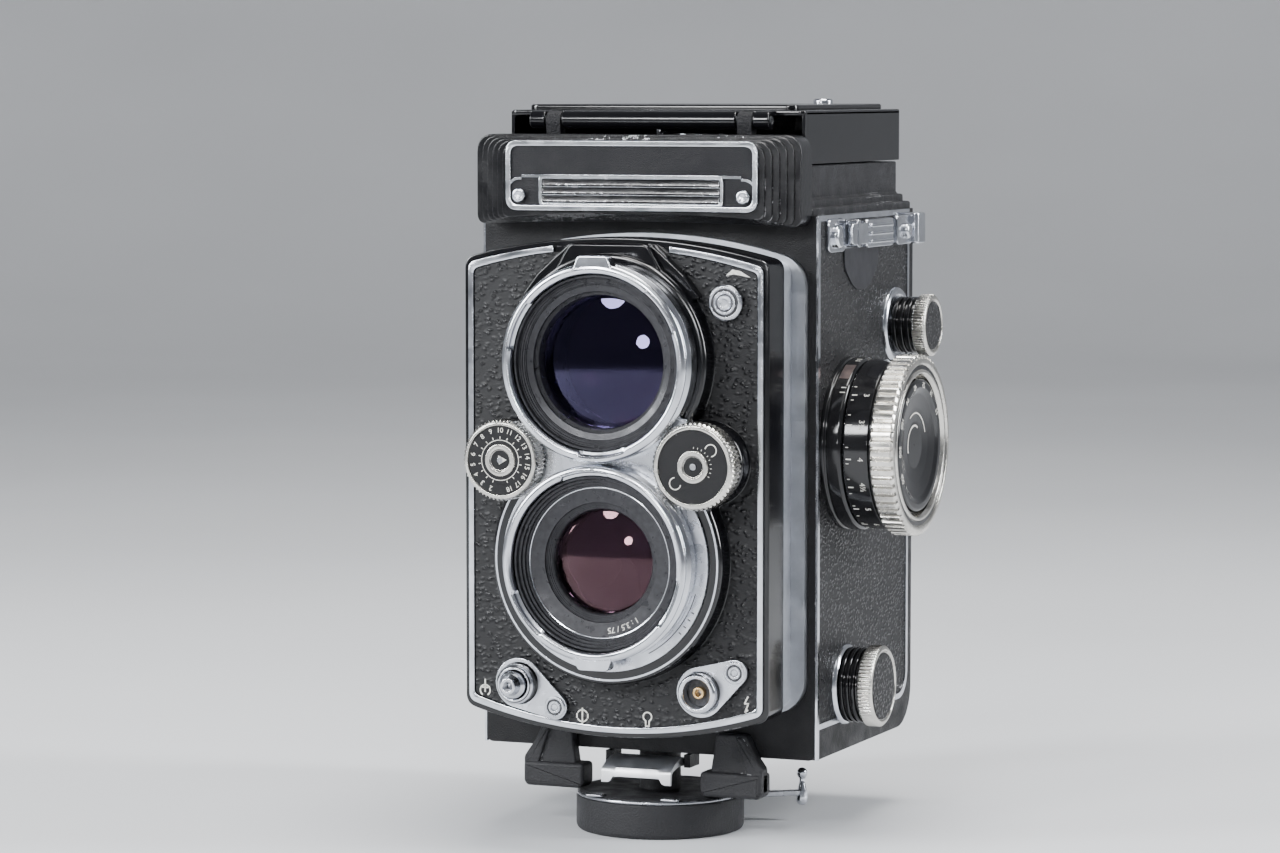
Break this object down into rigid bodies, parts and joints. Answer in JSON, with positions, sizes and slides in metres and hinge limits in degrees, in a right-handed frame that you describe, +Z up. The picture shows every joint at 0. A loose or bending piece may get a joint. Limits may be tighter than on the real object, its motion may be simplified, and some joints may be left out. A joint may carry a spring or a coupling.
{
  "type": "twin lens reflex camera",
  "caption": "Box-shaped twin lens reflex film camera with a folding viewing hood, side focusing knob and a round tripod plate.",
  "frame": {"origin": "centre of the tripod plate underside, at the mouth of its thread", "axes": "+Z up; the lenses look along -Y; the focusing knob is on the +X side"},
  "size_m": [0.101, 0.0974, 0.1577],
  "materials": {
    "crinkle_enamel": "crinkled black stove enamel",
    "gloss_enamel": "gloss black enamel",
    "satin_alloy": "satin",
    "chrome_plate": "satin chrome",
    "knurled_nickel": "knurled nickel plate",
    "steel": "brushed",
    "leatherette": "pebbled",
    "optical_glass": "coated, polished",
    "screen_glass": "ground",
    "silvered_glass": "front silvered",
    "lens_black": "black anodised",
    "badge": "engraved, black filled",
    "spool_black": "moulded"
  },
  "bodies": {
    "camera_body": {"body_shell": "crinkle_enamel", "front_flange": "satin_alloy", "film_gate": "satin_alloy", "mirror": "silvered_glass", "ground_glass": "screen_glass", "side_trims": "chrome_plate", "side_leatherette": "leatherette", "strap_lugs": "chrome_plate", "side_flanges": "chrome_plate", "focus_collar": "gloss_enamel", "front_feet": "crinkle_enamel", "hood_base": "gloss_enamel", "nameplate_housing": "gloss_enamel", "nameplate": "badge", "hinge_pins": "steel"},
    "front_standard": {"front_plate": "gloss_enamel", "front_trim": "chrome_plate", "front_leatherette": "leatherette", "lens_housing": "gloss_enamel", "scale_visor": "gloss_enamel", "exposure_scale_ring": "satin_alloy", "filter_bayonets": "chrome_plate", "taking_barrel": "lens_black", "viewing_barrel": "lens_black", "taking_glass": "optical_glass", "viewing_glass": "optical_glass", "shutter_leaves": "steel", "release_collar": "chrome_plate", "flash_socket": "chrome_plate"},
    "focusing_knob": {"focus_knob": "knurled_nickel", "distance_drum": "gloss_enamel", "focus_shaft": "steel"},
    "reminder_disc": {"reminder_dial": "lens_black"},
    "aperture_control": {"aperture_wheel": "knurled_nickel"},
    "shutter_control": {"shutter_wheel": "knurled_nickel"},
    "release": {"release_button": "chrome_plate"},
    "release_lock_lever": {"release_lock": "steel"},
    "socket_lock_lever": {"socket_lock": "steel"},
    "sync_switch": {"sync_lever": "steel"},
    "supply_plunger": {"supply_spindle": "chrome_plate"},
    "supply_grip": {"supply_knob": "knurled_nickel"},
    "takeup_plunger": {"takeup_spindle": "chrome_plate"},
    "takeup_grip": {"takeup_knob": "knurled_nickel"},
    "film_spool": {"takeup_spool": "spool_black"},
    "film_roller_low": {"lower_roller": "steel"},
    "film_roller_high": {"upper_roller": "steel"},
    "winding_hub": {"crank_hub": "chrome_plate"},
    "winding_arm": {"crank_arm": "chrome_plate"},
    "door": {"back_door": "gloss_enamel", "door_leatherette": "leatherette", "tripod_plate": "crinkle_enamel"},
    "film_pressure_plate": {"pressure_plate": "satin_alloy"},
    "latch": {"door_latch": "chrome_plate"},
    "clamp": {"clamp_lever": "chrome_plate"},
    "lid": {"hood_lid": "gloss_enamel", "magnifier": "gloss_enamel"},
    "finder_button": {"lid_button": "chrome_plate"},
    "hood_side_right": {"side_panel_right": "gloss_enamel"},
    "hood_side_left": {"side_panel_left": "gloss_enamel"},
    "hood_rear": {"rear_panel": "gloss_enamel"}
  },
  "joints": [
    {"name": "focus_turn", "type": "hinge", "parent": "camera_body", "child": "focusing_knob", "pos_m": [0, 0.0131, 0.0838], "axis": [1, 0, 0], "range_deg": [-234.5, 30.3]},
    {"name": "standard_slide", "type": "slide", "parent": "camera_body", "child": "front_standard", "axis": [0, -1, 0], "range_m": [-0.0053, 0.00068]},
    {"name": "reminder_turn", "type": "hinge", "parent": "focusing_knob", "child": "reminder_disc", "pos_m": [0, 0.0131, 0.0838], "axis": [1, 0, 0], "range_deg": [-150, 150]},
    {"name": "aperture_turn", "type": "hinge", "parent": "front_standard", "child": "aperture_control", "pos_m": [-0.0218, 0, 0.082], "axis": [0, -1, 0], "range_deg": [-120, 120]},
    {"name": "shutter_turn", "type": "hinge", "parent": "front_standard", "child": "shutter_control", "pos_m": [0.0218, 0, 0.082], "axis": [0, -1, 0], "range_deg": [-140, 120]},
    {"name": "release_press", "type": "slide", "parent": "front_standard", "child": "release", "axis": [0, 1, 0], "range_m": [0, 0.0028], "stiffness_N_per_m": 700},
    {"name": "release_lock_turn", "type": "hinge", "parent": "front_standard", "child": "release_lock_lever", "pos_m": [-0.0215, 0, 0.0337], "axis": [0, -1, 0], "range_deg": [0, 30]},
    {"name": "socket_lock_turn", "type": "hinge", "parent": "front_standard", "child": "socket_lock_lever", "pos_m": [0.0201, 0, 0.0339], "axis": [0, -1, 0], "range_deg": [-35, 25]},
    {"name": "sync_turn", "type": "hinge", "parent": "front_standard", "child": "sync_switch", "pos_m": [0.0255, 0, 0.1156], "axis": [0, -1, 0], "range_deg": [-30, 30]},
    {"name": "supply_pull", "type": "slide", "parent": "camera_body", "child": "supply_plunger", "axis": [1, 0, 0], "range_m": [0, 0.006]},
    {"name": "supply_spin", "type": "hinge", "parent": "supply_plunger", "child": "supply_grip", "pos_m": [0, 0.0117, 0.0317], "axis": [1, 0, 0], "continuous": true},
    {"name": "takeup_pull", "type": "slide", "parent": "camera_body", "child": "takeup_plunger", "axis": [1, 0, 0], "range_m": [0, 0.006]},
    {"name": "takeup_spin", "type": "hinge", "parent": "takeup_plunger", "child": "takeup_grip", "pos_m": [0, 0.0432, 0.1078], "axis": [1, 0, 0], "continuous": true},
    {"name": "crank_turn", "type": "hinge", "parent": "camera_body", "child": "winding_hub", "pos_m": [0, 0.026, 0.092], "axis": [-1, 0, 0], "range_deg": [0, 270]},
    {"name": "crank_fold", "type": "hinge", "parent": "winding_hub", "child": "winding_arm", "pos_m": [-0.0448, 0.026, 0.092], "axis": [0, -0.766, 0.6428], "range_deg": [0, 180]},
    {"name": "spool_turn", "type": "hinge", "parent": "camera_body", "child": "film_spool", "pos_m": [0, 0.0432, 0.1078], "axis": [-1, 0, 0], "range_deg": [0, 270]},
    {"name": "roller_low_spin", "type": "hinge", "parent": "camera_body", "child": "film_roller_low", "pos_m": [0, 0.0466, 0.0282], "axis": [1, 0, 0], "continuous": true},
    {"name": "roller_high_spin", "type": "hinge", "parent": "camera_body", "child": "film_roller_high", "pos_m": [0, 0.0466, 0.0926], "axis": [1, 0, 0], "continuous": true},
    {"name": "door_swing", "type": "hinge", "parent": "camera_body", "child": "door", "pos_m": [0, 0.0553, 0.1278], "axis": [1, 0, 0], "range_deg": [0, 90]},
    {"name": "pressure_float", "type": "slide", "parent": "door", "child": "film_pressure_plate", "axis": [0, 1, 0], "range_m": [0, 0.0007], "stiffness_N_per_m": 600},
    {"name": "latch_lift", "type": "hinge", "parent": "door", "child": "latch", "pos_m": [0, -0.006, 0.0156], "axis": [-1, 0, 0], "range_deg": [0, 40]},
    {"name": "clamp_swing", "type": "hinge", "parent": "door", "child": "clamp", "pos_m": [0.01181, 0.00858, 0.0062], "axis": [0, 0, 1], "range_deg": [-20, 20]},
    {"name": "lid_open", "type": "hinge", "parent": "camera_body", "child": "lid", "pos_m": [0, -0.0056, 0.1532], "axis": [1, 0, 0], "range_deg": [0, 90]},
    {"name": "finder_press", "type": "slide", "parent": "lid", "child": "finder_button", "axis": [0, 0, -1], "range_m": [0, 0.0012], "stiffness_N_per_m": 500},
    {"name": "side_right_rise", "type": "hinge", "parent": "camera_body", "child": "hood_side_right", "pos_m": [0.031, 0, 0.1386], "axis": [0, 1, 0], "range_deg": [0, 90]},
    {"name": "side_left_rise", "type": "hinge", "parent": "camera_body", "child": "hood_side_left", "pos_m": [-0.031, 0, 0.1386], "axis": [0, -1, 0], "range_deg": [0, 90]},
    {"name": "rear_rise", "type": "hinge", "parent": "camera_body", "child": "hood_rear", "pos_m": [0, 0.0546, 0.1406], "axis": [-1, 0, 0], "range_deg": [0, 90]}
  ],
  "couplings": [
    {"joint": "focus_turn", "follows": "standard_slide", "rad_per_m": 769.23},
    {"joint": "spool_turn", "follows": "crank_turn", "ratio": 1},
    {"joint": "side_right_rise", "follows": "lid_open", "ratio": 1},
    {"joint": "side_left_rise", "follows": "lid_open", "ratio": 1},
    {"joint": "rear_rise", "follows": "lid_open", "ratio": 1}
  ]
}
